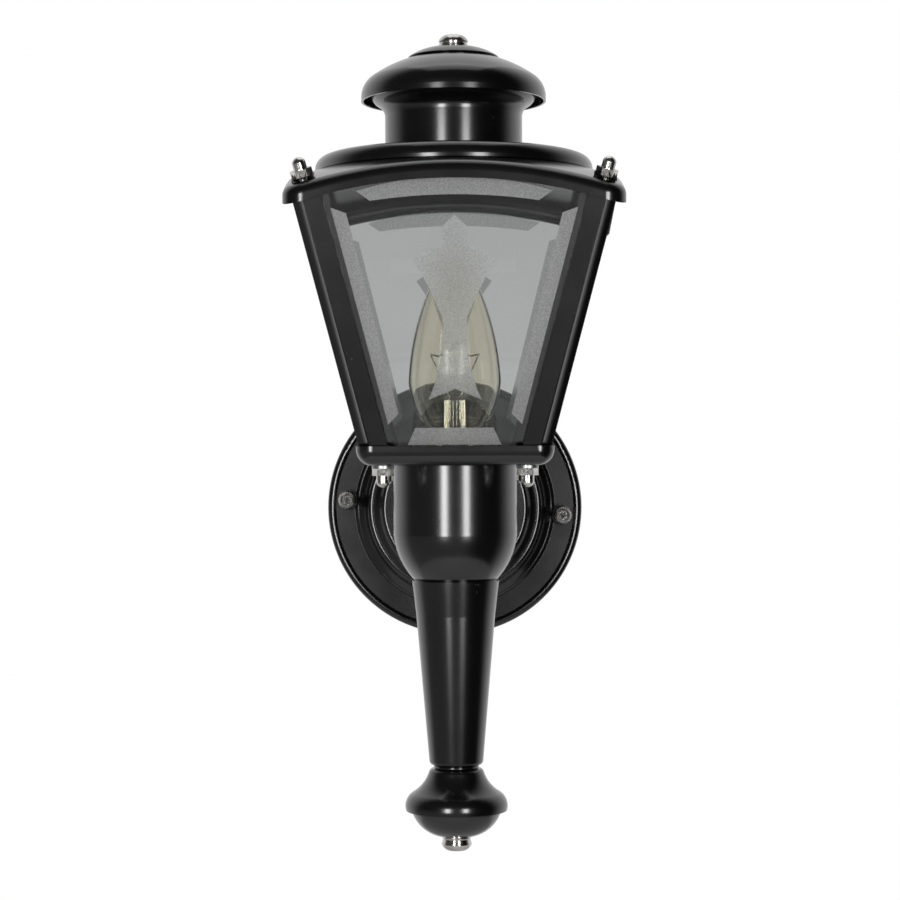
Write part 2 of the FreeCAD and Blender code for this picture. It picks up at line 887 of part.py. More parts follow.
def domed_block(name, half, corner, dome, apex, foot, edge_radius):
    """A rounded square block with a ball-shaped top, its top edge rounded."""
    body = padded(name, "XY_Plane", rounded_square(half, corner), apex - foot)
    place(body, 0, -dim.reach, foot)
    above = body.newObject("Sketcher::SketchObject", name + "_crown")
    plane = next(f for f in body.Origin.OriginFeatures if f.Role == "XZ_Plane")
    above.AttachmentSupport = [(plane, "")]
    above.MapMode = "FlatFace"
    top = apex - foot
    reach = half * DIAGONAL + corner
    fall = dome - root(dome * dome - reach * reach)
    draw_outline(above, [
        (0, top, crown_rise(reach, fall)), (reach, top - fall), (reach, top + fall), (0, top + fall),
    ])
    doc.recompute()
    before = body.Tip.Shape.Volume
    groove = body.newObject("PartDesign::Groove", name + "_dome")
    groove.Profile = above
    groove.ReferenceAxis = (above, ["V_Axis"])
    groove.Angle = 360
    body.Tip = groove
    doc.recompute()
    assert groove.Shape.Volume < before
    centre = Vector(0, 0, number(top) - number(dome))
    brim = edges_where(groove.Shape, lambda edge: all(
        abs(edge.valueAt(spot).distanceToPoint(centre) - number(dome)) < NEAR
        for spot in (edge.FirstParameter, (edge.FirstParameter + edge.LastParameter) / 2)))
    fillet = body.newObject("PartDesign::Fillet", name + "_edge")
    fillet.Base = (groove, brim)
    bind(fillet, "Radius", edge_radius)
    body.Tip = fillet
    return body


def roof_inside(name, gap):
    """The space under the roof sheet, short of it by a gap."""
    inset = dim.roof_gauge + gap
    return domed_block(name, roof_half - inset, dim.roof_corner_radius - inset,
                       dim.dome_radius - inset, roof_apex - inset, dim.tray_level,
                       dim.roof_edge_radius - inset)


# ---------------------------------------------------------------- posts and glass

def post_section():
    """Plan of the front-right post, from its outer corner: x runs inward, y to the rear."""
    lip = dim.post_lip_width
    gauge = dim.post_gauge
    bevel = dim.post_bevel
    groove = bevel + dim.post_groove
    notch = dim.post_groove_depth
    nick = notch / 3
    slot = gauge + slot_depth
    inner = slot + gauge
    inner_lip = lip + dim.post_inner_lip
    half = [
        (lip, gauge), (lip, 0), (groove, 0), (bevel + dim.post_groove / 2, notch), (bevel, nick),
    ]
    other = [(y, x) for x, y in reversed(half)]
    web = slot + gauge / 2
    rest = [
        (gauge, web), (slot, web), (slot, inner_lip), (inner, inner_lip), (inner, inner),
        (inner_lip, inner), (inner_lip, slot), (web, slot), (web, gauge),
    ]
    return half[:-1] + [half[-1] + (-dim.post_bevel_rise,)] + other + rest


def mirrored_x(corners):
    """Turn the outline over left to right and keep it anticlockwise."""
    turned_over = []
    count = len(corners)
    for index in range(count):
        corner = corners[-index]
        edge = corners[-index - 1]
        rise = edge[2] if len(edge) > 2 else 0
        point = (-corner[0], corner[1])
        turned_over.append(point if number(rise) == 0 else point + (rise,))
    return turned_over


def make_posts():
    foot = floor_level + dim.post_foot_lift
    height = roof_apex - foot
    labels = ("corner_post_front_right", "corner_post_rear_right",
              "corner_post_rear_left", "corner_post_front_left")
    edge = half_width_at(foot)
    centre = Vector(0, -number(dim.reach), 0)
    for turn, label in enumerate(labels):
        body = padded(label + "_bar", "XY_Plane", mirrored_x(post_section()), height)
        body.Tip.UseCustomVector = True
        body.Tip.Direction = Vector(number(flare), -number(flare), 1)
        body.Tip.AlongSketchNormal = True
        way = Rotation(Vector(0, 0, 1), 90 * turn)
        corner = Vector(number(edge), -number(edge), number(foot))
        body.Placement = Placement(centre + way.multVec(corner), way)
        node(label, common(label + "_trimmed", body, roof_room))


def make_panes():
    """Four panes whose arched heads follow the roof's lip, tucked up behind it."""
    lean = math.degrees(math.atan(number(flare)))
    web = dim.post_gauge + slot_depth + dim.post_gauge / 2
    foot = floor_level + dim.glass_foot_lift + dim.glass_thickness
    head = lip_foot + dim.glass_tuck
    side_reach = half_width_at(head) - web
    arch = dome_drop(root(roof_half * roof_half + side_reach * side_reach)) - dome_drop(roof_half)
    low = half_width_at(foot) - web - dim.glass_gap
    high = low + flare * (head - arch - foot)
    length = (head - arch - foot) * slant
    inner_face = half_width_at(foot) - dim.post_gauge - dim.glass_gap - glass_depth
    centre = Vector(0, -number(dim.reach), 0)
    for turn, label in enumerate(("glass_front", "glass_right", "glass_rear", "glass_left")):
        body = padded(label + "_sheet", "XZ_Plane",
                      [(-low, 0), (low, 0), (high, length, -arch * slant), (-high, length)],
                      dim.glass_thickness)
        way = Rotation(Vector(0, 0, 1), 90 * turn)
        foot_spot = Vector(0, -number(inner_face), number(foot))
        body.Placement = Placement(centre + way.multVec(foot_spot),
                                   way.multiply(Rotation(Vector(1, 0, 0), lean)))
        node(label, body)


# ---------------------------------------------------------------- corner rods and nuts

def at_head(item, along_rod):
    """Stand a piece on the front-right rod where it leaves the roof."""
    spot = Vector(number(rod_head), -number(dim.reach + rod_head), number(head_level))
    item.Placement = Placement(spot + rod_way.multVec(Vector(0, 0, number(along_rod))), rod_way)
    return item


def at_foot(item, below_tray):
    """Hang a piece upside down under the tray at the front-right rod."""
    return place(item, rod_foot, -dim.reach - rod_foot, dim.tray_level - below_tray, UPSIDE_DOWN)


head_gap = dim.washer_tilt_gap
foot_gap = dim.seat_gap


def make_rods():
    bore_end = dim.washer_height + dim.acorn_bore_depth
    lower = place(cylinder("rod_lower", dim.rod_radius, bend_level - dim.tray_level + bore_end),
                  rod_foot, -dim.reach - rod_foot, dim.tray_level - bore_end)
    bend = place(primitive("Sphere", "rod_bend", Radius=dim.rod_radius),
                 rod_foot, -dim.reach - rod_foot, bend_level)
    run = (head_level - bend_level) * root(1 + 2 * rod_slope * rod_slope)
    upper = cylinder("rod_upper", dim.rod_radius, run + bore_end)
    upper.Placement = Placement(
        Vector(number(rod_foot), -number(dim.reach + rod_foot), number(bend_level)), rod_way)
    node("corner_rods", at_four_corners("corner_rod_set",
                                        fused("corner_rod", lower, bend, upper)))


def acorn(name):
    """A hexagon with a domed cap and a blind threaded hole, standing on its face."""
    dome_foot = dim.acorn_height - dim.acorn_crown
    dome = turned(name + "_dome", [
        (0, 0), (0, dim.acorn_height, crown_rise(dim.acorn_radius, dim.acorn_crown)),
        (dim.acorn_radius, dome_foot), (dim.acorn_radius, 0),
    ])
    flats = hexagon(name + "_flats", dim.nut_width, dim.nut_height)
    hole = cylinder(name + "_thread", dim.rod_radius + dim.thread_gap,
                    dim.acorn_bore_depth + dim.seat_gap)
    return (dome, flats, hole)


def washer(name):
    bore = dim.rod_radius + dim.thread_gap
    return turned(name, [(bore, 0), (dim.washer_radius, 0),
                         (dim.washer_radius, dim.washer_height), (bore, dim.washer_height)])


def make_corner_hardware():
    for end, seat, gap in (("top", at_head, head_gap), ("bottom", at_foot, foot_gap)):
        dome, flats, hole = [seat(piece, dim.washer_height + gap + dim.seat_gap)
                             for piece in acorn("acorn_" + end)]
        nut = cut("acorn_" + end, fused("acorn_blank_" + end, dome, flats), hole)
        node(end + "_acorn_nuts", at_four_corners("acorn_set_" + end, nut))
        ring = seat(washer("washer_" + end), gap)
        node(end + "_washers", at_four_corners("washer_set_" + end, ring))


# ---------------------------------------------------------------- roof

def make_roof():
    outside = domed_block("roof_outside", roof_half, dim.roof_corner_radius, dim.dome_radius,
                          roof_apex, roof_foot, dim.roof_edge_radius)
    inside = roof_inside("roof_inside", 0)
    below = on_axis(primitive("Sphere", "roof_below", Radius=dim.dome_radius),
                    roof_apex - dim.roof_lip - dim.dome_radius)
    vent = on_axis(cylinder("roof_vent", dim.vent_radius, dim.lantern_height),
                   dim.tray_level + dim.dome_radius / 10)
    rod_hole = at_head(cylinder("roof_rod_hole", dim.rod_radius + dim.hole_gap, dim.roof_lip * 2),
                       -dim.roof_lip)
    holes = fused("roof_holes", inside, below, vent, at_four_corners("roof_rod_holes", rod_hole))
    node("roof_plate", cut("roof_hollow", outside, holes))


chimney_seat = roof_apex - dome_drop(dim.chimney_radius - dim.chimney_gauge) + dim.seat_gap
chimney_top = chimney_seat + dim.chimney_height


def make_ring():
    foot_radius = dim.ring_radius - dim.roof_gauge
    seat = roof_apex - dome_drop(foot_radius) + dim.seat_gap
    height = dim.ring_height
    ring = turned("roof_ring_shell", shell_outline([
        (dim.chimney_radius + dim.seat_gap, height),
        (dim.ring_radius - dim.ring_edge_radius, height, dim.ring_edge_radius * QUARTER_ARC),
        (dim.ring_radius, height - dim.ring_edge_radius),
        (dim.ring_radius, 0),
    ], dim.roof_gauge))
    node("roof_ring", on_axis(ring, seat))


def make_chimney():
    side = dim.chimney_side
    bell = side + dim.flare_height
    middle = side + dim.flare_height / 2
    tube = dim.chimney_radius
    lip = dim.hood_shoulder_radius
    waist = (tube + lip) / 2
    chimney = turned("chimney_shell", shell_outline([
        (lip, dim.chimney_height),
        (lip, bell, dim.flare_rise),
        (waist, middle, -dim.flare_rise),
        (tube, side),
        (tube, 0),
    ], dim.chimney_gauge))
    node("chimney", on_axis(chimney, chimney_seat))


bar_top = roof_apex - dim.roof_gauge - dome_drop(
    root(dim.bar_length * dim.bar_length + dim.bar_width * dim.bar_width) / 2) - dim.seat_gap


def make_crossbar():
    bar = primitive("Box", "crossbar_strip", Length=dim.bar_length, Width=dim.bar_width,
                    Height=dim.bar_gauge)
    place(bar, -dim.bar_length / 2, -dim.reach - dim.bar_width / 2, bar_top - dim.bar_gauge)
    hole = on_axis(cylinder("crossbar_hole", dim.finial_rod_radius + dim.thread_gap,
                            dim.bar_gauge * 3), bar_top - dim.bar_gauge * 2)
    node("chimney_crossbar", cut("crossbar_drilled", bar, hole))


# ---------------------------------------------------------------- cap

rod_hole_radius = dim.finial_rod_radius + dim.thread_gap
hood_seat_height = dim.hood_rim + dim.hood_side_height
hood_crown = (dim.hood_crown_radius, hood_seat_height + dim.hood_crown_height, dim.hood_crown_rise)
hood_shoulder = (dim.hood_shoulder_radius, hood_seat_height, dim.hood_side_rise)
hood_edge = (dim.hood_radius, dim.hood_rim)
hood_flank = edge_ends(hood_shoulder, hood_edge, dim.hood_side_rise)[0]
hood_upright_gauge = dim.hood_gauge / hood_flank.x
hood_level = chimney_top + dim.slide_gap + hood_upright_gauge - hood_seat_height


def make_hood():
    hood = turned("cap_hood_shell", shell_outline([
        (rod_hole_radius, hood_crown[1]), hood_crown, hood_shoulder, hood_edge,
        (dim.hood_radius, 0),
    ], dim.hood_gauge))
    node("cap_hood", on_axis(hood, hood_level))


disc_corners = shell_outline([
    (rod_hole_radius, dim.disc_height),
    (dim.disc_crown_radius, dim.disc_height, dim.disc_rise),
    (dim.disc_radius, 0),
], dim.disc_gauge)
disc_toe = min(disc_corners, key=lambda corner: number(corner[1]))
disc_rest = height_on_arc(hood_crown, hood_shoulder, dim.hood_crown_rise, disc_toe[0])
disc_level = hood_level + disc_rest - disc_toe[1] + dim.seat_gap


def make_disc():
    node("cap_disc", on_axis(turned("cap_disc_shell", disc_corners), disc_level))


nut_level = disc_level + dim.disc_height + dim.slide_gap


def finial_outline(radius, height, bore, depth):
    """A round nut with a collar, a waist and a domed face."""
    collar = radius - dim.nut_collar_step
    belly = height - dim.nut_dome_height
    face = radius - dim.nut_dome_width
    return [
        (0, depth), (0, height), (face, height, dim.nut_dome_rise), (radius, belly),
        (radius - dim.nut_waist_step, dim.nut_waist_height), (collar, dim.nut_collar_height),
        (collar, 0), (bore, 0), (bore, depth),
    ]


def make_finial():
    nut = turned("finial_nut_solid", finial_outline(
        dim.finial_nut_radius, dim.finial_nut_height,
        dim.finial_rod_radius + dim.thread_gap, dim.finial_bore_depth))
    node("finial_nut", on_axis(nut, nut_level))
    nut_height = dim.rod_nut_height
    start = bar_top - dim.bar_gauge - nut_height - dim.bar_gauge
    end = nut_level + dim.finial_bore_depth - dim.slide_gap
    node("finial_rod", on_axis(cylinder("finial_rod_solid", dim.finial_rod_radius, end - start),
                               start))
    nuts = []
    for side, level in (("over", bar_top + dim.seat_gap),
                        ("under", bar_top - dim.bar_gauge - dim.seat_gap - nut_height)):
        blank = on_axis(hexagon("rod_nut_" + side, dim.nut_width, nut_height), level)
        hole = on_axis(cylinder("rod_nut_hole_" + side, dim.finial_rod_radius + dim.thread_gap,
                                nut_height), level)
        nuts.append(cut("rod_nut_drilled_" + side, blank, hole))
    node("finial_rod_nuts", fused("rod_nut_pair", *nuts))


def make_clip():
    """A leaf clip that hangs inside the roof's right lip and bears on the glass."""
    lip_face = roof_half - dim.roof_gauge - dim.seat_gap
    top = lip_foot + dim.clip_top
    bend = lip_foot - dim.clip_bend_drop
    low = bend - dim.clip_length
    gauge = dim.clip_gauge
    glass_low = half_width_at(low) - dim.post_gauge - dim.glass_gap
    leaf = glass_low + dim.clip_stand_off
    toe = low - dim.clip_stand_off
    toe_face = half_width_at(toe) - dim.post_gauge - dim.glass_gap + dim.seat_gap
    corners = [
        (toe_face, toe), (leaf + gauge, low), (lip_face, bend), (lip_face, top),
        (lip_face - gauge, top), (lip_face - gauge, bend), (leaf, low),
        (toe_face + gauge / 4, toe + gauge),
    ]
    clip = padded("clip_leaf", "XZ_Plane", corners, dim.clip_width)
    node("side_glass_clip", place(clip, 0, dim.clip_width / 2 - dim.reach - dim.clip_offset, 0))


# ---------------------------------------------------------------- stem and tail

stem_top = cup_bottom - dim.seat_gap
bead_top = stem_top - dim.stem_length - dim.seat_gap
bell_top = bead_top - dim.bead_height - dim.seat_gap
bowl_top = bell_top - dim.bell_height - dim.seat_gap
tail_nut_top = bowl_top - dim.bowl_height - dim.seat_gap
tail_bore = dim.tail_rod_radius + dim.seat_gap


def make_stem():
    length = dim.stem_length
    wall = dim.stem_wall
    top = dim.stem_top_radius
    foot = dim.stem_foot_radius
    edge = foot - dim.bead_radius
    chamfer = dim.stem_rim_chamfer
    tube = turned("stem_tube", [
        (top - dim.stem_rim, 0), (top - chamfer, 0), (top, -chamfer),
        (dim.stem_neck_radius, -dim.stem_neck_drop),
        (foot, edge - length, edge * QUARTER_ARC), (foot - edge, -length), (tail_bore, -length),
        (tail_bore, wall - length), (foot - wall, wall - length),
        (dim.stem_neck_radius - wall, -dim.stem_neck_drop),
        (top - wall, -wall), (top - dim.stem_rim, -wall),
    ])
    node("stem", on_axis(tube, stem_top))


def make_bead():
    side = dim.bead_radius - dim.bead_rise
    node("tail_bead", on_axis(turned("tail_bead_solid", [
        (tail_bore, -dim.bead_height), (side, -dim.bead_height, -dim.bead_rise),
        (side, 0), (tail_bore, 0),
    ]), bead_top))


def make_bell():
    bell = turned("tail_bell_shell", shell_outline([
        (tail_bore, 0),
        (dim.bell_neck_radius - dim.bell_edge_width, 0, dim.bell_edge_rise),
        (dim.bell_neck_radius, -dim.bell_edge, -dim.bell_waist_rise),
        (dim.bell_waist_radius, -dim.bell_waist_drop, dim.bell_belly_rise),
        (dim.bell_radius, -dim.bell_side_drop, dim.bell_side_rise),
        (dim.bell_radius - dim.bell_draft, -dim.bell_height),
    ], dim.bell_gauge))
    node("tail_bell", on_axis(bell, bell_top))


def make_bowl():
    wall = dim.bowl_gauge
    height = dim.bowl_height
    inner_rim = dim.bowl_radius - wall * 2
    share = (inner_rim - dim.bowl_foot_radius) / (dim.bowl_radius - dim.bowl_foot_radius)
    bowl = turned("tail_bowl_shell", [
        (tail_bore, -height),
        (dim.bowl_foot_radius, -height, -dim.bowl_rise),
        (dim.bowl_radius, 0),
        (tail_bore, 0),
        (tail_bore, -wall),
        (inner_rim, -wall, dim.bowl_rise * share),
        (dim.bowl_foot_radius, wall - height),
        (tail_bore, wall - height),
    ])
    node("tail_bowl", on_axis(bowl, bowl_top))


def make_tail_nut():
    nut = turned("tail_nut_solid", finial_outline(
        dim.tail_nut_radius, dim.tail_nut_height,
        dim.tail_rod_radius + dim.thread_gap, dim.tail_bore_depth))
    node("tail_nut", on_axis(nut, tail_nut_top, UPSIDE_DOWN))


tail_locknut_level = cup_bottom + dim.cup_gauge + dim.seat_gap
hub_level = tail_locknut_level + dim.tail_locknut_height + dim.seat_gap


def make_tail_rod():
    height = dim.tail_locknut_height
    blank = on_axis(hexagon("tail_locknut_blank", dim.nut_width, height), tail_locknut_level)
    hole = on_axis(cylinder("tail_locknut_hole", tail_bore, height), tail_locknut_level)
    node("tail_locknut", cut("tail_locknut_drilled", blank, hole))
    end = tail_nut_top - dim.tail_bore_depth + dim.slide_gap
    start = hub_level + dim.hub_height
    node("tail_rod", on_axis(cylinder("tail_rod_solid", dim.tail_rod_radius, start - end), end))


# ---------------------------------------------------------------- lamp holder

socket_foot = dim.tray_level - dim.socket_drop
socket_top = socket_foot + dim.socket_height
shell_radius = dim.base_radius + dim.thread_gap
shell_floor = socket_top - dim.shell_height


def bracket_pair(name, radius, height, level):
    """Two upright cylinders at the bracket's screws."""
    spacing = dim.bracket_length / 2 - dim.bracket_screw_inset
    return fused(name, *(place(cylinder("%s_%s" % (name, side), radius, height),
                               spacing * way, -dim.reach, level)
                         for side, way in (("left", -1), ("right", 1))))


def make_bracket():
    strip = primitive("Box", "bracket_strip", Length=dim.bracket_length,
                      Width=dim.bracket_width, Height=dim.bracket_gauge)
    strip_level = socket_foot - dim.seat_gap - dim.bracket_gauge
    place(strip, -dim.bracket_length / 2, -dim.reach - dim.bracket_width / 2, strip_level)
    hub = on_axis(cylinder("bracket_hub", dim.hub_radius, strip_level - hub_level), hub_level)
    bore = on_axis(cylinder("bracket_bore", dim.tail_rod_radius + dim.thread_gap,
                            dim.hub_height + dim.bracket_gauge * 4), hub_level - dim.bracket_gauge)
    drill = dim.ground_screw_radius + dim.thread_gap
    holes = bracket_pair("bracket_hole", drill, dim.bracket_gauge * 3,
                         strip_level - dim.bracket_gauge)
    node("socket_bracket", cut("bracket_solid", fused("bracket_blank", strip, hub),
                               fused("bracket_holes", bore, holes)))
    head_top = strip_level - dim.seat_gap
    heads = bracket_pair("bracket_screw_head", dim.ground_head_radius, dim.ground_head_height,
                         head_top - dim.ground_head_height)
    shanks = bracket_pair("bracket_screw_shank", dim.ground_screw_radius,
                          socket_foot + dim.bracket_screw_bite - head_top, head_top)
    node("bracket_screws", fused("bracket_screw_set", heads, shanks))


def make_socket():
    bore = shell_radius + dim.shell_gauge + dim.seat_gap
    mouth = dim.socket_height
    floor = mouth - dim.shell_height
    pocket = floor - dim.pocket_depth
    edge = dim.socket_edge
    body = turned("socket_porcelain", [
        (0, 0), (dim.socket_radius, 0), (dim.socket_radius, mouth - edge, -edge * QUARTER_ARC),
        (dim.socket_radius - edge, mouth), (bore, mouth), (bore, floor),
        (dim.pocket_radius, floor), (dim.pocket_radius, pocket), (0, pocket),
    ])
    on_axis(body, socket_foot)
    inlets = []
    for side, way in (("left", -1), ("right", 1)):
        inlet = cylinder("socket_lead_hole_" + side, dim.lead_hole_radius, dim.socket_radius)
        inlets.append(off_wall(inlet, dim.reach - dim.socket_radius * 1.5,
                               dim.lead_hole_spread * way, socket_foot + dim.lead_hole_level))
    screw_holes = bracket_pair("socket_screw_hole", dim.ground_screw_radius + dim.thread_gap,
                               dim.bracket_screw_bite + dim.slide_gap + dim.socket_edge,
                               socket_foot - dim.socket_edge)
    node("socket_body", cut("socket_drilled", body,
                            fused("socket_holes", screw_holes, *inlets)))
    wall = dim.shell_gauge
    lip = shell_radius - dim.shell_lip
    shell = turned("socket_shell_tube", [
        (lip, 0), (shell_radius + wall, 0),
        (shell_radius + wall, dim.shell_height - dim.slide_gap),
        (shell_radius, dim.shell_height - dim.slide_gap), (shell_radius, wall),
        (lip, wall),
    ])
    node("socket_shell", on_axis(shell, shell_floor + dim.seat_gap))
    contact_level = socket_foot + pocket + dim.seat_gap
    tongue = turned("socket_contact_spring", [
        (0, 0), (dim.contact_radius, 0), (dim.contact_radius, wall),
        (dim.contact_tip_radius, dim.contact_height), (0, dim.contact_height),
    ])
    node("socket_contact", on_axis(tongue, contact_level))
    return contact_level + dim.contact_height


# ---------------------------------------------------------------- lamp

def make_base(foot):
    """The screw shell, its glass insulator and the centre contact."""
    crest = dim.base_radius
    valley = crest - dim.thread_depth
    base = dim.base_height
    thread_top = base - dim.base_skirt
    thread_foot = thread_top - THREAD_RIDGES * dim.thread_pitch
    outer = [(crest - dim.base_rim, base), (crest, base - dim.base_rim), (crest, thread_top)]
    for ridge in range(round(THREAD_RIDGES)):
        level = thread_top - ridge * dim.thread_pitch
        outer.append((valley, level - dim.thread_depth * 2, dim.thread_rise))
        outer.append((valley, level - dim.thread_pitch))
    outer.append((valley - dim.base_toe_inset, thread_foot - dim.base_toe_height))
    outer.append((dim.base_end_radius, dim.base_end_height))
    node("bulb_base", on_axis(turned("bulb_base_shell", shell_outline(outer, dim.base_gauge)), foot))
    low = dim.button_height + dim.seat_gap
    node("bulb_insulator", on_axis(turned("bulb_insulator_solid", [
        (0, low), (dim.insulator_face_radius, low),
        (dim.insulator_radius, low + dim.insulator_cone),
        (dim.insulator_radius, low + dim.insulator_height), (0, low + dim.insulator_height),
    ]), foot))
    node("bulb_contact", on_axis(turned("bulb_contact_solid", [
        (0, 0), (dim.button_face_radius, 0, -dim.button_rise),
        (dim.button_radius, dim.button_height), (0, dim.button_height),
    ]), foot))


def make_lamp(contact_level):
    foot = contact_level + dim.slide_gap
    make_base(foot)
    tip = dim.lamp_length
    neck = dim.base_radius - dim.base_rim - dim.base_gauge - dim.seat_gap
    glass_foot = dim.base_height - dim.lamp_tuck
    envelope = turned("bulb_envelope", shell_outline([
        (0, tip, crown_rise(dim.lamp_tip_radius, dim.lamp_tip_height)),
        (dim.lamp_tip_radius, tip - dim.lamp_tip_height, dim.lamp_tip_rise),
        (dim.lamp_shoulder_radius, tip - dim.lamp_shoulder_drop, dim.lamp_shoulder_rise),
        (dim.lamp_radius, tip - dim.lamp_belly_drop, dim.lamp_belly_rise),
        (neck + dim.slide_gap, tip - dim.lamp_neck_drop), (neck, tip - dim.lamp_foot_drop),
        (neck, glass_foot),
    ], dim.lamp_gauge))
    node("bulb_glass", on_axis(envelope, foot))
    seat = neck - dim.lamp_gauge - dim.seat_gap
    press = dim.filament_height - dim.press_drop
    stem = turned("bulb_stem_solid", [
        (0, glass_foot), (seat, glass_foot), (seat, glass_foot + dim.lamp_gauge, -dim.mount_flare),
        (dim.mount_radius, glass_foot + dim.mount_height),
        (dim.press_radius, press - dim.press_length), (dim.press_tip_radius, press), (0, press),
    ])
    node("bulb_stem", on_axis(stem, foot))
    make_filament(foot, press)


def make_filament(foot, press):
    """Lead-in wires and the zigzag between them, as one run of fine wire."""
    half = dim.filament_span / 2
    level = dim.filament_height
    kink = dim.filament_kink
    root_x = dim.press_tip_radius - dim.filament_wire * 2
    root_z = press - dim.filament_wire
    bends = 3
    crown = [(half * (step / bends), level + kink * (-1) ** (step + 1) * 0.5)
             for step in range(1 - bends, bends)]
    points = [(-root_x, root_z), (-half, level)] + crown + [(half, level), (root_x, root_z)]
    spots = [Vector(number(x), -number(dim.reach), number(z + foot)) for x, z in points]
    pieces = []
    for index, spot in enumerate(spots):
        joint = primitive("Sphere", "filament_joint_%d" % index, Radius=dim.filament_wire)
        joint.Placement = Placement(spot, Rotation())
        pieces.append(joint)
    for index, (start, stop) in enumerate(zip(spots, spots[1:])):
        wire = cylinder("filament_run_%d" % index, dim.filament_wire, (stop - start).Length)
        wire.Placement = Placement(start, Rotation(Vector(0, 0, 1), stop - start))
        pieces.append(wire)
    clear_of_stem = on_axis(cylinder("filament_trim", dim.filament_span, dim.lamp_radius * 2),
                            foot + press + dim.seat_gap)
    node("bulb_filament", common("filament_above_stem", fused("filament_wires", *pieces),
                                 clear_of_stem))


# ---------------------------------------------------------------- build

make_canopy()
make_strap()
make_strap_screws()
make_thumb_nuts()
make_arm()
make_nipple()
make_cup()
make_tray()
roof_room = roof_inside("roof_room", dim.seat_gap)
make_posts()
make_panes()
make_rods()
make_corner_hardware()
make_roof()
make_ring()
make_chimney()
make_crossbar()
make_hood()
make_disc()
make_finial()
make_clip()
make_stem()
make_bead()
make_bell()
make_bowl()
make_tail_nut()
make_tail_rod()
make_bracket()
make_lamp(make_socket())
doc.recompute()

for item in doc.Objects:
    if "Invalid" in item.State or "Error" in item.State:
        raise RuntimeError("not built: " + item.Label)
for label, item in nodes.items():
    if item.Shape.isNull() or not item.Shape.isValid():
        raise RuntimeError("bad shape: " + label)

os.makedirs("parts", exist_ok=True)
for label, item in nodes.items():
    item.Shape.exportStep("parts/" + label + ".step")
    box = item.Shape.BoundBox
    print("%-26s solids %d  volume %9.1f  x %7.1f %7.1f  y %7.1f %7.1f  z %7.1f %7.1f" % (
        label, len(item.Shape.Solids), item.Shape.Volume,
        box.XMin, box.XMax, box.YMin, box.YMax, box.ZMin, box.ZMax))
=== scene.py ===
import math

import bmesh
import bpy
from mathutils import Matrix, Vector

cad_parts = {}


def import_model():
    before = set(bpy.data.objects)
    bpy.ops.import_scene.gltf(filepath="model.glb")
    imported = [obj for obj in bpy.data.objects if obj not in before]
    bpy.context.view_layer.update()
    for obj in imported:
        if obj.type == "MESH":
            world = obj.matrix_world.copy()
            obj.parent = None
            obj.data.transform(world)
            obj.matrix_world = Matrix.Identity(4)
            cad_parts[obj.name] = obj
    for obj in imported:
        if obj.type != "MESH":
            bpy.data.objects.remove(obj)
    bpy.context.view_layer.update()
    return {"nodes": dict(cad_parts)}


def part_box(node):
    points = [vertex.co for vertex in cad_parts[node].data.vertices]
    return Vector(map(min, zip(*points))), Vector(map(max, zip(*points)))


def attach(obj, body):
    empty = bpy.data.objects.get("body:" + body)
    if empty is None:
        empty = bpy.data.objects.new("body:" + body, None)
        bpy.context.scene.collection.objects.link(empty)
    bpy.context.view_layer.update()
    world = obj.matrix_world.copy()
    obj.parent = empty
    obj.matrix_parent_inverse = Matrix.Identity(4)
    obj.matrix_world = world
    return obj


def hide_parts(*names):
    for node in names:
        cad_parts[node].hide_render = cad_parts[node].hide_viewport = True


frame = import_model()

MM = 0.001
AXIS = Vector((0.0, -90.0 * MM, 0.0))  # the lantern's upright centre line
SAME_POINT = 1e-6  # corners nearer than this, in metres, are one corner

# The photograph's view: level and from straight in front, with a long lens.
CAMERA_PLACE = Vector((-2.2, -1068.0, 27.2)) * MM
CAMERA_ROLL = 0.25  # degrees
CAMERA_LENS = 89.6  # mm, on a sensor 36 mm wide
CAMERA_SENSOR = 36.0

# Lights, in metres and watts. All of them are turned to one point of the lantern.
LIGHT_AIM = AXIS + Vector((0.0, 0.0, 0.03))
STRIP_DISTANCE = 1.2
STRIP_WIDTH, STRIP_HEIGHT = 0.23, 0.62
STRIP_BEARING = 20.0  # degrees to each side of the camera
STRIP_LEFT_WATTS, STRIP_RIGHT_WATTS = 5.6, 5.0
OVERHEAD_OFFSET = (0.0, 0.15, 1.3)
OVERHEAD_SIDE = 0.9
OVERHEAD_WATTS = 1.6

# The floor: a round slab well below the sconce, which hangs on a wall.
FLOOR_CENTRE = Vector((0.0, -0.09, -0.40))
FLOOR_RADIUS = 0.42
FLOOR_GLOW = 0.62  # what the camera sees beyond the light that falls on the floor

# The etching, in mm. It stands a hair off the glass, as a skin of its own.
ETCH_LIFT = 0.03
ETCH_SKIN = 0.02
ETCH_BASE = 27.7  # height of the outlines' zero above the origin

# The lock washers on the roof's corners.
WASHER_BORE = 1.95 * MM  # radius
WASHER_TEETH = 12
WASHER_GAUGE = 0.45  # sheet thickness as a share of the washer's height
WASHER_ROOT = 0.42  # where a tooth starts, as a share of the way from bore to tip
WASHER_SLANT = 0.18  # how far every other point is turned on, as a share of a step

KNURL_LINES = 22  # scored lines round the dome of a wall plate nut


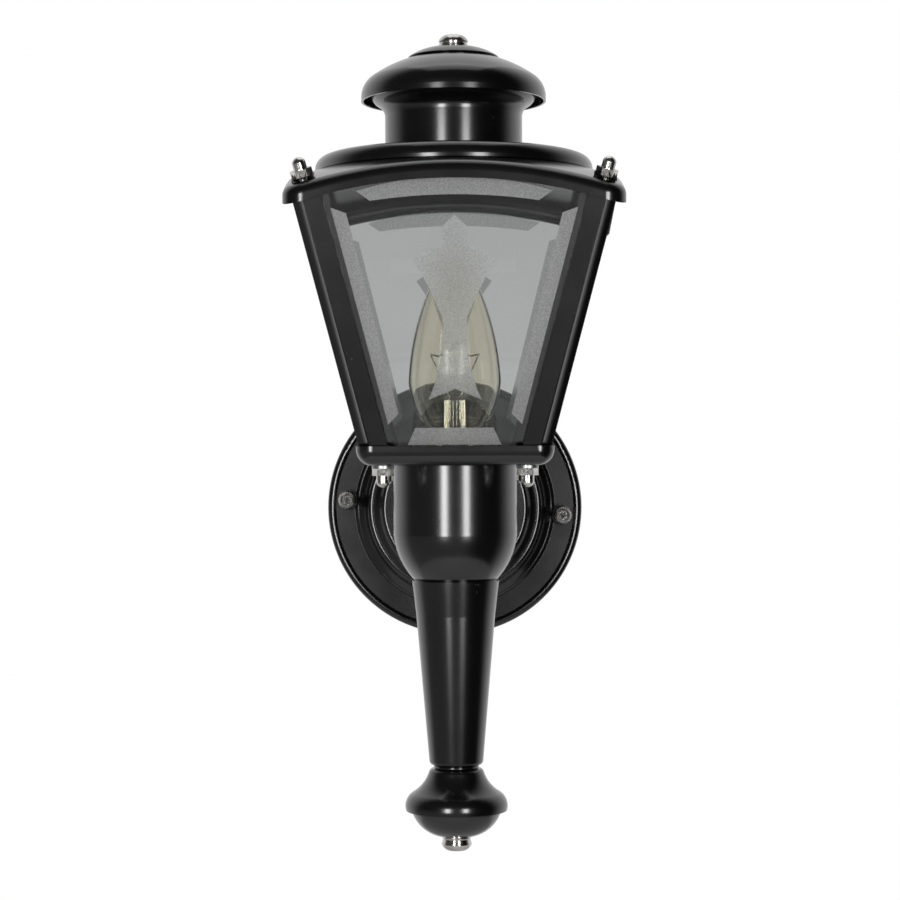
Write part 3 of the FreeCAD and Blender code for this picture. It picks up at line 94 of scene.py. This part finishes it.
class Graph:
    """A node tree that is laid out one node at a time."""

    def __init__(self, owner):
        owner.use_nodes = True
        self.tree = owner.node_tree
        self.tree.nodes.clear()

    def add(self, kind, wires=None, **settings):
        node = self.tree.nodes.new(kind)
        for key, value in settings.items():
            setattr(node, key, value)
        for key, value in (wires or {}).items():
            self.wire(node.inputs[key], value)
        return node

    def wire(self, socket, value):
        """Links another node's output to a socket, or sets the socket to a constant."""
        if isinstance(value, bpy.types.NodeSocket):
            self.tree.links.new(value, socket)
        else:
            socket.default_value = value

    def place(self):
        return self.add("ShaderNodeTexCoord").outputs["Object"]

    def noise(self, scale, detail=2.0, rough=0.5, at=None):
        wires = {
            "Vector": at or self.place(),
            "Scale": scale,
            "Detail": detail,
            "Roughness": rough,
        }
        return self.add("ShaderNodeTexNoise", wires).outputs["Fac"]

    def span(self, value, low, high, to_low=0.0, to_high=1.0):
        """A smooth step that runs from to_low to to_high as value runs from low to high."""
        wires = {
            "Value": value,
            "From Min": low,
            "From Max": high,
            "To Min": to_low,
            "To Max": to_high,
        }
        node = self.add("ShaderNodeMapRange", wires, interpolation_type="SMOOTHSTEP")
        return node.outputs["Result"]

    def maths(self, operation, *values):
        wires = dict(enumerate(values))
        return self.add("ShaderNodeMath", wires, operation=operation).outputs["Value"]

    def mix(self, share, first, second):
        node = self.add("ShaderNodeMix", data_type="RGBA")
        for key, value in (("Factor", share), ("A", first), ("B", second)):
            socket = next(s for s in node.inputs if s.name == key and s.enabled)
            self.wire(socket, value)
        return next(s for s in node.outputs if s.enabled)

    def bump(self, height, strength, depth, normal=None):
        wires = {"Height": height, "Strength": strength, "Distance": depth}
        if normal is not None:
            wires["Normal"] = normal
        return self.add("ShaderNodeBump", wires).outputs["Normal"]

    def surface(self, **wires):
        named = {key.replace("_", " "): value for key, value in wires.items()}
        shader = self.add("ShaderNodeBsdfPrincipled", named)
        self.add("ShaderNodeOutputMaterial", {"Surface": shader.outputs["BSDF"]})


def grey(level):
    return (level, level, level, 1.0)


def material(name):
    made = bpy.data.materials.new(name)
    return made, Graph(made)


def dust(graph, cell, zone, size):
    """Sparse specks of uneven size: spots round the points of a fine cell pattern, in zones."""
    bend = 0.0012
    drift = graph.add("ShaderNodeTexNoise", {"Vector": graph.place(), "Scale": cell * 2.5})
    wires = {0: drift.outputs["Color"], 1: (bend, bend, bend), 2: graph.place()}
    at = graph.add("ShaderNodeVectorMath", wires, operation="MULTIPLY_ADD").outputs[0]
    cells = graph.add("ShaderNodeTexVoronoi", {"Vector": at, "Scale": cell})
    spread = graph.span(graph.noise(cell * 0.7, 1.0), 0.35, 0.7, size * 0.3, size)
    past_edge = graph.maths("SUBTRACT", cells.outputs["Distance"], spread)
    spots = graph.span(past_edge, 0.03, 0.0)
    return graph.maths("MULTIPLY", spots, graph.span(graph.noise(zone, 3.0), 0.57, 0.70))


def black_paint():
    """Semi-gloss black stove paint: fine orange peel, cloudy gloss, soft edges, a little dust."""
    made, g = material("painted_black")
    specks = dust(g, 420.0, 70.0, 0.16)
    peel = g.maths("ADD", g.noise(620.0, 2.0), g.maths("MULTIPLY", specks, 1.5))
    rounded = g.add("ShaderNodeBevel", {"Radius": 0.35 * MM}, samples=4).outputs["Normal"]
    g.surface(
        Base_Color=g.mix(specks, (0.0030, 0.0027, 0.0032, 1.0), grey(0.05)),
        Roughness=g.span(g.noise(38.0, 4.0, 0.6), 0.3, 0.7, 0.19, 0.25),
        IOR=1.5,
        Coat_Weight=1.0,
        Coat_Roughness=0.18,
        Normal=g.bump(peel, 0.06, 0.1 * MM, rounded),
    )
    return made


def metal(name, colour, dull, low, high):
    """A plated or bare metal with fine rubbing marks and a cloudy tarnish."""
    made, g = material(name)
    cloud = g.span(g.noise(240.0, 5.0, 0.65), 0.35, 0.7)
    rubbed = g.noise(900.0, 3.0, 0.7)
    g.surface(
        Base_Color=g.mix(cloud, (*colour, 1.0), (*dull, 1.0)),
        Metallic=1.0,
        Roughness=g.span(rubbed, 0.3, 0.7, low, high),
        Normal=g.bump(rubbed, 0.12, 0.06 * MM),
    )
    return made


def knurled(name, middle):
    """Bright nickel on a ball whose dome is scored with fine lines that run to its point."""
    made, g = material(name)
    spot = g.add("ShaderNodeVectorMath", {0: g.place(), 1: tuple(middle)}, operation="SUBTRACT")
    way = g.add("ShaderNodeSeparateXYZ", {"Vector": spot.outputs[0]})
    turn = g.maths("ARCTAN2", way.outputs["Z"], way.outputs["X"])
    score = g.maths("SINE", g.maths("MULTIPLY", turn, float(KNURL_LINES)))
    cloud = g.span(g.noise(500.0, 5.0, 0.65), 0.35, 0.7)
    g.surface(
        Base_Color=g.mix(cloud, (0.62, 0.60, 0.58, 1.0), (0.26, 0.25, 0.24, 1.0)),
        Metallic=1.0,
        Roughness=g.span(g.noise(900.0, 3.0, 0.7), 0.3, 0.7, 0.16, 0.30),
        Normal=g.bump(score, 0.55, 0.18 * MM),
    )
    return made


def glazed(name, colour, dark, low, high, coat):
    """Glazed china or moulded resin with faint mottling."""
    made, g = material(name)
    mottle = g.span(g.noise(160.0, 4.0), 0.3, 0.75)
    g.surface(
        Base_Color=g.mix(mottle, (*colour, 1.0), (*dark, 1.0)),
        Roughness=g.span(g.noise(420.0, 3.0), 0.3, 0.7, low, high),
        Coat_Weight=coat,
        Coat_Roughness=0.08,
        Normal=g.bump(g.noise(800.0), 0.05, 0.05 * MM),
    )
    return made


def clear_glass(name, tint, wave):
    """Clear sheet or blown glass: a faint tint, a slight wave and a trace of film in the gloss."""
    made, g = material(name)
    g.surface(
        Base_Color=(*tint, 1.0),
        Roughness=g.span(g.noise(300.0, 4.0, 0.7), 0.5, 0.8, 0.0, 0.035),
        IOR=1.5,
        Transmission_Weight=1.0,
        Normal=g.bump(g.noise(wave, 1.0), 0.02, 0.2 * MM),
    )
    return made


def frost():
    """Sandblasted glass: a grainy veil that blurs what lies behind it."""
    made, g = material("frosted_etch")
    grain = g.noise(1500.0, 2.0, 0.8)
    g.surface(
        Base_Color=g.mix(g.span(grain, 0.40, 0.60), grey(0.66), grey(0.74)),
        Roughness=0.62,
        IOR=1.25,
        Transmission_Weight=0.72,
        Alpha=g.span(grain, 0.38, 0.62, 0.78, 0.98),
        Normal=g.bump(grain, 0.15, 0.05 * MM),
    )
    return made


PAINT = black_paint()
NICKEL = metal("nickel_bright", (0.92, 0.90, 0.86), (0.66, 0.64, 0.60), 0.12, 0.24)
ZINC = metal("zinc_plated", (0.60, 0.61, 0.62), (0.36, 0.36, 0.36), 0.30, 0.45)
LOCK_STEEL = metal("washer_steel", (0.075, 0.07, 0.066), (0.03, 0.028, 0.026), 0.30, 0.45)
BRASS = metal("rolled_brass", (0.78, 0.58, 0.27), (0.50, 0.34, 0.14), 0.18, 0.32)
ALUMINIUM = metal("rolled_aluminium", (0.82, 0.82, 0.81), (0.60, 0.60, 0.59), 0.16, 0.28)
TUNGSTEN = metal("drawn_tungsten", (0.42, 0.40, 0.38), (0.25, 0.24, 0.23), 0.35, 0.50)
CHINA = glazed("glazed_china", (0.86, 0.85, 0.81), (0.78, 0.76, 0.70), 0.10, 0.20, 0.6)
RESIN = glazed("black_glass_resin", (0.012, 0.011, 0.012), (0.02, 0.018, 0.018), 0.15, 0.25, 0.3)
PANE = clear_glass("pane_glass", (0.965, 0.985, 0.975), 22.0)
BULB = clear_glass("bulb_glass_warm", (0.985, 0.955, 0.86), 40.0)
FROST = frost()

# The record's material slots, and the finish that each one gets.
FINISHES = {
    "black_paint": PAINT,
    "nickel_plate": NICKEL,
    "zinc_steel": ZINC,
    "brass": BRASS,
    "aluminium_shell": ALUMINIUM,
    "tungsten": TUNGSTEN,
    "porcelain": CHINA,
    "black_insulator": RESIN,
    "clear_glass": PANE,
}
BULB_GLASS = ("bulb_glass", "bulb_stem")
THUMB_NUTS = ("thumb_nut_left", "thumb_nut_right")


def dress_nodes():
    """Gives every carried node the finish of its slot, or its own where it has one."""
    for name, node in frame["nodes"].items():
        for slot in node.material_slots:
            key = slot.material.name.split(".")[0]
            slot.material = BULB if name in BULB_GLASS else FINISHES[key]
    for name in THUMB_NUTS:
        low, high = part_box(name)
        scored = knurled("scored_" + name, (low + high) / 2.0)
        for slot in frame["nodes"][name].material_slots:
            slot.material = scored


def link_mesh(name, built, finish):
    """A new object in the scene, made from a bmesh, which is used up."""
    mesh = bpy.data.meshes.new(name)
    built.to_mesh(mesh)
    built.free()
    mesh.materials.append(finish)
    made = bpy.data.objects.new(name, mesh)
    bpy.context.scene.collection.objects.link(made)
    return made


def piece(name, built, finish, body):
    """A new piece of the sconce, riding on a body."""
    made = link_mesh(name, built, finish)
    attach(made, body)
    return made


# Outlines of the etching on one pane, in mm: across from the pane's middle, and up from
# ETCH_BASE. The same outlines are on all four panes.


def arch_band():
    """The frosted band that follows the arched head of the pane, with mitred ends."""
    steps = 16
    outer_half, inner_half = 40.0, 34.5
    outer_end, outer_top = 105.1, 111.0
    inner_end, inner_top = 101.2, 103.7
    rows = []
    for i in range(steps + 1):
        t = 2.0 * i / steps - 1.0
        dome = 1.0 - t * t
        outer = (outer_half * t, outer_end + (outer_top - outer_end) * dome)
        inner = (inner_half * t, inner_end + (inner_top - inner_end) * dome)
        rows.append((outer, inner))
    return [[a[0], b[0], b[1], a[1]] for a, b in zip(rows, rows[1:])]


def motif():
    """The pointed ornament in the pane's middle: a tip, a shaft, two wings and a notched foot."""
    tip, notch = (0.0, 95.6), (0.0, 25.0)
    side = [
        (5.1, 91.0),
        (5.1, 84.0),
        (5.4, 82.8),
        (11.2, 82.0),
        (17.4, 77.5),
        (13.7, 72.0),
        (10.4, 66.0),
        (5.2, 54.6),
        (4.7, 49.5),
        (5.3, 39.3),
        (7.3, 30.0),
        (11.0, 20.5),
    ]
    spine = [tip] + [(0.0, z) for _, z in side[:-1]] + [notch]
    faces = []
    for sign in (1.0, -1.0):
        edge = [tip] + [(sign * x, z) for x, z in side]
        for i in range(len(side)):
            faces.append([spine[i], edge[i], edge[i + 1], spine[i + 1]])
    return faces


def etched_faces():
    left = [(-50.5, 98.5), (-44.2, 96.3), (-23.6, 14.7), (-28.0, 10.2)]
    right = [(-x, z) for x, z in left]
    foot = [(-16.7, 8.8), (16.0, 8.8), (19.4, 1.7), (-19.8, 1.7)]
    return arch_band() + motif() + [left, right, foot]


def pane_plane(node, outward):
    """A point and the outward normal of the pane's outer face, its largest one on that side."""
    best = max(
        (p for p in node.data.polygons if p.normal.dot(outward) > 0.8),
        key=lambda p: p.area * (1.0 + 1e-3 * p.center.dot(outward)),
    )
    return best.center.copy(), best.normal.copy()


def etch(name, outward, across):
    """Lays the etching on the outer face of one pane."""
    centre, normal = pane_plane(frame["nodes"][name], outward)
    bm = bmesh.new()
    for outline in etched_faces():
        corners = []
        for u, z in outline:
            flat = AXIS + across * (u * MM) + Vector((0.0, 0.0, (z + ETCH_BASE) * MM))
            reach = (ETCH_LIFT * MM + (centre - flat).dot(normal)) / outward.dot(normal)
            point = flat + outward * reach
            if all((point - corner).length > SAME_POINT for corner in corners):
                corners.append(point)
        bm.faces.new([bm.verts.new(corner) for corner in corners])
    bmesh.ops.remove_doubles(bm, verts=bm.verts, dist=SAME_POINT)
    bmesh.ops.recalc_face_normals(bm, faces=bm.faces)
    for face in bm.faces:
        if face.normal.dot(normal) < 0.0:
            face.normal_flip()
    side = name.split("_")[1]
    made = piece("etching_" + side, bm, FROST, "lantern")
    made.data.materials.append(PANE)
    skin = made.modifiers.new("thickness", "SOLIDIFY")
    skin.thickness = ETCH_SKIN * MM
    skin.offset = -1.0  # towards the glass
    skin.material_offset = 1  # the side on the glass is clear


# For each pane, the way that it faces and the way across it.
SIDES = {
    "glass_front": (Vector((0, -1, 0)), Vector((1, 0, 0))),
    "glass_right": (Vector((1, 0, 0)), Vector((0, 1, 0))),
    "glass_rear": (Vector((0, 1, 0)), Vector((-1, 0, 0))),
    "glass_left": (Vector((-1, 0, 0)), Vector((0, -1, 0))),
}


def corner_boxes(name):
    """The lowest and highest corners of a node's four lumps, one on each corner of the roof."""
    lumps = {}
    for vertex in frame["nodes"][name].data.vertices:
        key = (vertex.co.x > AXIS.x, vertex.co.y > AXIS.y)
        lumps.setdefault(key, []).append(vertex.co)
    boxes = []
    for points in lumps.values():
        low = Vector([min(p[i] for p in points) for i in range(3)])
        high = Vector([max(p[i] for p in points) for i in range(3)])
        boxes.append((low, high))
    return boxes


def star_washer(bm, centre, tip, low, high):
    """A lock washer with outer teeth that are twisted up on one side and down on the other."""
    gauge = (high - low) * WASHER_GAUGE
    middle = (high + low) / 2.0
    twist = (high - low - gauge) / 2.0
    root = WASHER_BORE + (tip - WASHER_BORE) * WASHER_ROOT
    tooth = [(root, 0.0), (root, 0.0), (tip, 1.0), (tip, -1.0)]
    count = WASHER_TEETH * len(tooth)
    rings = []
    for half in (gauge / 2.0, -gauge / 2.0):
        inner, outer = [], []
        for i in range(count):
            angle = 2.0 * math.pi * (i + WASHER_SLANT * (i % 2)) / count
            reach, lean = tooth[i % len(tooth)]
            way = Vector((math.cos(angle), math.sin(angle), 0.0))
            level = middle + half
            inner.append(bm.verts.new(centre + way * WASHER_BORE + Vector((0, 0, level))))
            level += lean * twist
            outer.append(bm.verts.new(centre + way * reach + Vector((0, 0, level))))
        rings.append((inner, outer))
    (top_in, top_out), (low_in, low_out) = rings
    for i in range(count):
        j = (i + 1) % count
        bm.faces.new((top_in[i], top_in[j], top_out[j], top_out[i]))
        bm.faces.new((low_in[i], low_out[i], low_out[j], low_in[j]))
        bm.faces.new((top_out[i], top_out[j], low_out[j], low_out[i]))
        bm.faces.new((top_in[i], low_in[i], low_in[j], top_in[j]))


def lock_washers():
    bm = bmesh.new()
    for low, high in corner_boxes("top_washers"):
        centre = Vector(((low.x + high.x) / 2.0, (low.y + high.y) / 2.0, 0.0))
        star_washer(bm, centre, (high.x - low.x) / 2.0, low.z, high.z)
    bmesh.ops.recalc_face_normals(bm, faces=bm.faces)
    washers = piece("star_washers", bm, LOCK_STEEL, "lantern")
    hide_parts("top_washers")


def world():
    """White behind the object, a dim room in front of it, and a plain level of soft light."""
    made = bpy.data.worlds.new("studio")
    bpy.context.scene.world = made
    made.cycles.sampling_method = "NONE"  # the level isn't the same for every kind of ray
    g = Graph(made)
    ray = g.add("ShaderNodeLightPath").outputs
    sky_way = g.add("ShaderNodeTexCoord").outputs["Generated"]
    way = g.add("ShaderNodeSeparateXYZ", {"Vector": sky_way}).outputs
    # Mirrored: the bright backdrop, and a room that is darker above and on the right.
    backdrop = g.span(way["Y"], -0.1, 0.6, 0.0, 0.62)
    room = g.span(way["Z"], -0.35, 0.2, 0.19, 0.04)
    room = g.maths("MULTIPLY", room, g.span(way["X"], 0.15, 0.65, 1.0, 0.06))
    mirrored = g.maths("MAXIMUM", room, backdrop)
    # Through glass: an uneven haze.
    haze = g.span(g.noise(2.6, 2.0, at=sky_way), 0.35, 0.65, 0.33, 0.50)
    level = g.mix(ray["Is Glossy Ray"], grey(0.22), mirrored)
    level = g.mix(ray["Is Transmission Ray"], level, haze)
    level = g.mix(ray["Is Camera Ray"], level, grey(1.0))
    sky = g.add("ShaderNodeBackground", {"Color": level, "Strength": 1.0})
    g.add("ShaderNodeOutputWorld", {"Surface": sky.outputs["Background"]})


def soft_box(name, offset, width, height, watts):
    """A rectangular light that stands off the lantern and is turned to it."""
    data = bpy.data.lights.new(name, "AREA")
    data.shape = "RECTANGLE"
    data.size, data.size_y = width, height
    data.energy = watts
    lamp = bpy.data.objects.new(name, data)
    bpy.context.scene.collection.objects.link(lamp)
    lamp.location = LIGHT_AIM + Vector(offset)
    lamp.rotation_euler = (LIGHT_AIM - lamp.location).to_track_quat("-Z", "Y").to_euler()


def strip_light(name, bearing, watts):
    """A tall soft box on one side of the camera."""
    turn = math.radians(bearing)
    offset = (STRIP_DISTANCE * math.sin(turn), -STRIP_DISTANCE * math.cos(turn), 0.0)
    soft_box(name, offset, STRIP_WIDTH, STRIP_HEIGHT, watts)


def lights():
    strip_light("strip_left", -STRIP_BEARING, STRIP_LEFT_WATTS)
    strip_light("strip_right", STRIP_BEARING, STRIP_RIGHT_WATTS)
    soft_box("overhead", OVERHEAD_OFFSET, OVERHEAD_SIDE, OVERHEAD_SIDE, OVERHEAD_WATTS)


def floor():
    bm = bmesh.new()
    bmesh.ops.create_circle(bm, cap_ends=True, segments=96, radius=FLOOR_RADIUS)
    bmesh.ops.translate(bm, verts=bm.verts, vec=FLOOR_CENTRE)
    made, g = material("pale_floor")
    seen = g.add("ShaderNodeLightPath").outputs["Is Camera Ray"]
    g.surface(
        Base_Color=g.mix(g.noise(9.0, 3.0), grey(0.80), grey(0.84)),
        Roughness=0.85,
        Emission_Color=grey(1.0),
        Emission_Strength=g.maths("MULTIPLY", seen, FLOOR_GLOW),
    )
    link_mesh("floor", bm, made)


def camera():
    data = bpy.data.cameras.new("camera")
    data.sensor_width = CAMERA_SENSOR
    data.lens = CAMERA_LENS
    made = bpy.data.objects.new("camera", data)
    bpy.context.scene.collection.objects.link(made)
    made.location = CAMERA_PLACE
    made.rotation_euler = (math.radians(90.0), math.radians(CAMERA_ROLL), 0.0)
    bpy.context.scene.camera = made


camera()
world()
lights()
floor()
dress_nodes()
for pane, (outward, across) in SIDES.items():
    etch(pane, outward, across)
lock_washers()
bpy.context.scene.view_settings.view_transform = "Standard"
